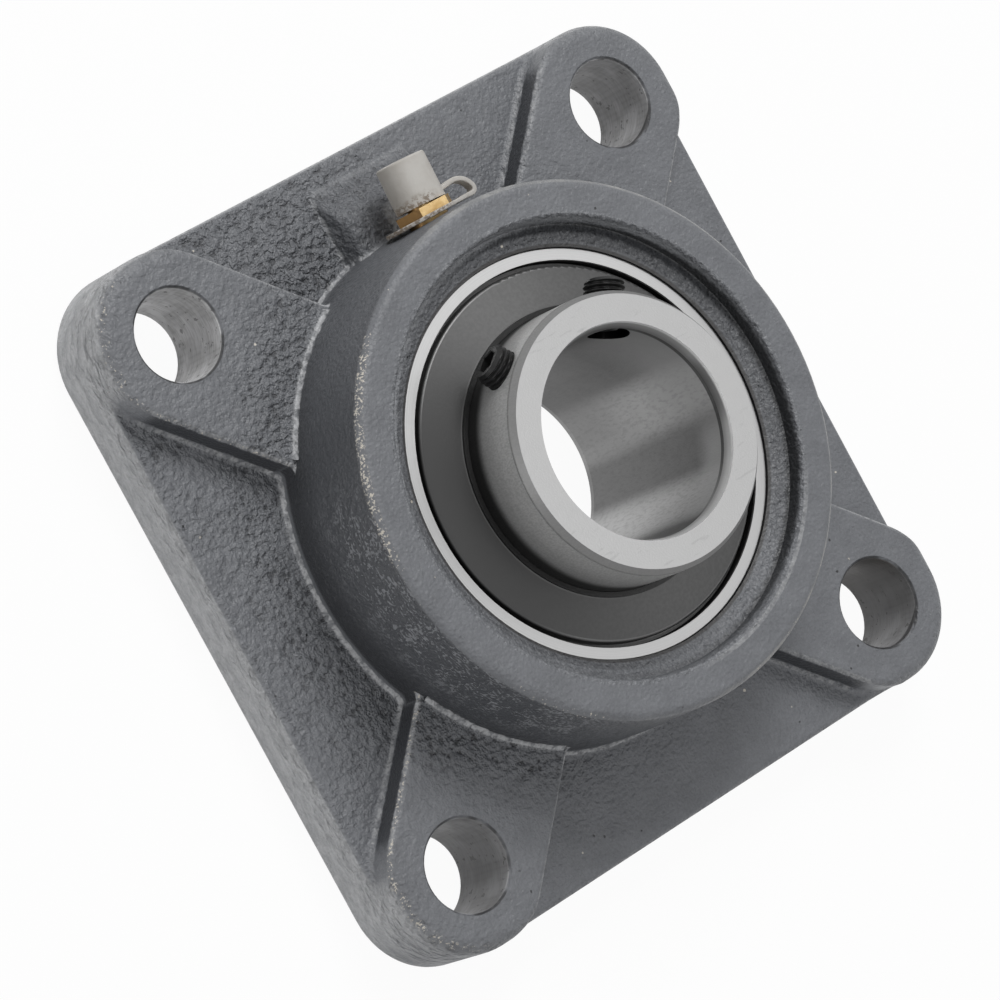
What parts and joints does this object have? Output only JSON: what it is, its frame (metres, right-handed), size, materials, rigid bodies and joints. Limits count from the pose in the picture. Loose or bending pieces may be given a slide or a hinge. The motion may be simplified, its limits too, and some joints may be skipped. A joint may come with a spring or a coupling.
{
  "type": "flange bearing unit",
  "caption": "Square flange bearing unit: insert ball bearing with set screws in a cast housing with a spherical seat, bolt holes and a capped grease nipple.",
  "frame": {"origin": "centre of the housing's machined back face, on the shaft axis", "axes": "+Z along the shaft axis, from the mounting face to the front; +Y towards the grease nipple; the bolt pattern lies along X and Y"},
  "size_m": [0.1074, 0.1074, 0.0402],
  "materials": {
    "housing_paint": "blue-grey paint over a sand-cast skin",
    "ring_steel": "ground bearing steel",
    "ball_steel": "polished",
    "cage_steel": "pressed sheet",
    "shield_steel": "zinc-plated pressed sheet",
    "seal_rubber": "matte",
    "screw_steel": "black oxide",
    "nipple_brass": "turned, slightly dull",
    "spring_steel": "drawn wire",
    "cap_plastic": "soft moulded, pale warm grey"
  },
  "bodies": {
    "housing": {"housing": "housing_paint", "nipple_body": "nipple_brass", "nipple_spring": "spring_steel", "cap_tether": "cap_plastic"},
    "insert": {"outer_ring": "ring_steel", "shield_front": "shield_steel", "shield_rear": "shield_steel", "seal_lip_front": "seal_rubber", "seal_lip_rear": "seal_rubber"},
    "inner_ring": {"inner_ring": "ring_steel"},
    "cage": {"cage_front": "cage_steel", "cage_rear": "cage_steel", "cage_rivets": "cage_steel"},
    "ball_1": {"ball_1": "ball_steel"},
    "ball_2": {"ball_2": "ball_steel"},
    "ball_3": {"ball_3": "ball_steel"},
    "ball_4": {"ball_4": "ball_steel"},
    "ball_5": {"ball_5": "ball_steel"},
    "ball_6": {"ball_6": "ball_steel"},
    "ball_7": {"ball_7": "ball_steel"},
    "ball_8": {"ball_8": "ball_steel"},
    "ball_9": {"ball_9": "ball_steel"},
    "set_screw_1": {"set_screw_1": "screw_steel"},
    "set_screw_2": {"set_screw_2": "screw_steel"},
    "nipple_cap": {"nipple_cap": "cap_plastic"},
    "check_ball": {"nipple_check_ball": "ball_steel"}
  },
  "joints": [
    {"name": "insert_tilt", "type": "hinge", "parent": "housing", "child": "insert", "pos_m": [0, 0, 0.018], "axis": [1, 0, 0], "range_deg": [-2, 2]},
    {"name": "inner_ring_spin", "type": "hinge", "parent": "insert", "child": "inner_ring", "pos_m": [0, 0, 0.018], "axis": [0, 0, 1], "continuous": true},
    {"name": "cage_spin", "type": "hinge", "parent": "insert", "child": "cage", "pos_m": [0, 0, 0.018], "axis": [0, 0, 1], "continuous": true},
    {"name": "ball_1_spin", "type": "hinge", "parent": "cage", "child": "ball_1", "pos_m": [0.023, 0, 0.018], "axis": [0, 0, 1], "continuous": true},
    {"name": "ball_2_spin", "type": "hinge", "parent": "cage", "child": "ball_2", "pos_m": [0.01762, 0.01478, 0.018], "axis": [0, 0, 1], "continuous": true},
    {"name": "ball_3_spin", "type": "hinge", "parent": "cage", "child": "ball_3", "pos_m": [0.00399, 0.02265, 0.018], "axis": [0, 0, 1], "continuous": true},
    {"name": "ball_4_spin", "type": "hinge", "parent": "cage", "child": "ball_4", "pos_m": [-0.0115, 0.01992, 0.018], "axis": [0, 0, 1], "continuous": true},
    {"name": "ball_5_spin", "type": "hinge", "parent": "cage", "child": "ball_5", "pos_m": [-0.02161, 0.00787, 0.018], "axis": [0, 0, 1], "continuous": true},
    {"name": "ball_6_spin", "type": "hinge", "parent": "cage", "child": "ball_6", "pos_m": [-0.02161, -0.00787, 0.018], "axis": [0, 0, 1], "continuous": true},
    {"name": "ball_7_spin", "type": "hinge", "parent": "cage", "child": "ball_7", "pos_m": [-0.0115, -0.01992, 0.018], "axis": [0, 0, 1], "continuous": true},
    {"name": "ball_8_spin", "type": "hinge", "parent": "cage", "child": "ball_8", "pos_m": [0.00399, -0.02265, 0.018], "axis": [0, 0, 1], "continuous": true},
    {"name": "ball_9_spin", "type": "hinge", "parent": "cage", "child": "ball_9", "pos_m": [0.01762, -0.01478, 0.018], "axis": [0, 0, 1], "continuous": true},
    {"name": "set_screw_1_travel", "type": "slide", "parent": "inner_ring", "child": "set_screw_1", "axis": [0.454, 0.891, 0], "range_m": [-0.0006, 0.0035]},
    {"name": "set_screw_2_travel", "type": "slide", "parent": "inner_ring", "child": "set_screw_2", "axis": [-0.5878, 0.809, 0], "range_m": [-0.0006, 0.0035]},
    {"name": "cap_pull", "type": "slide", "parent": "housing", "child": "nipple_cap", "axis": [0.0436, 0.999, 0], "range_m": [0, 0.0072]},
    {"name": "check_ball_travel", "type": "slide", "parent": "housing", "child": "check_ball", "axis": [0, -1, 0], "range_m": [0, 0.0008], "stiffness_N_per_m": 300, "springref_m": -0.001, "deforming": ["nipple_spring"]}
  ],
  "couplings": [
    {"joint": "cage_spin", "follows": "inner_ring_spin", "ratio": 0.39647},
    {"joint": "ball_1_spin", "follows": "inner_ring_spin", "ratio": -2.3112},
    {"joint": "ball_2_spin", "follows": "inner_ring_spin", "ratio": -2.3112},
    {"joint": "ball_3_spin", "follows": "inner_ring_spin", "ratio": -2.3112},
    {"joint": "ball_4_spin", "follows": "inner_ring_spin", "ratio": -2.3112},
    {"joint": "ball_5_spin", "follows": "inner_ring_spin", "ratio": -2.3112},
    {"joint": "ball_6_spin", "follows": "inner_ring_spin", "ratio": -2.3112},
    {"joint": "ball_7_spin", "follows": "inner_ring_spin", "ratio": -2.3112},
    {"joint": "ball_8_spin", "follows": "inner_ring_spin", "ratio": -2.3112},
    {"joint": "ball_9_spin", "follows": "inner_ring_spin", "ratio": -2.3112}
  ]
}
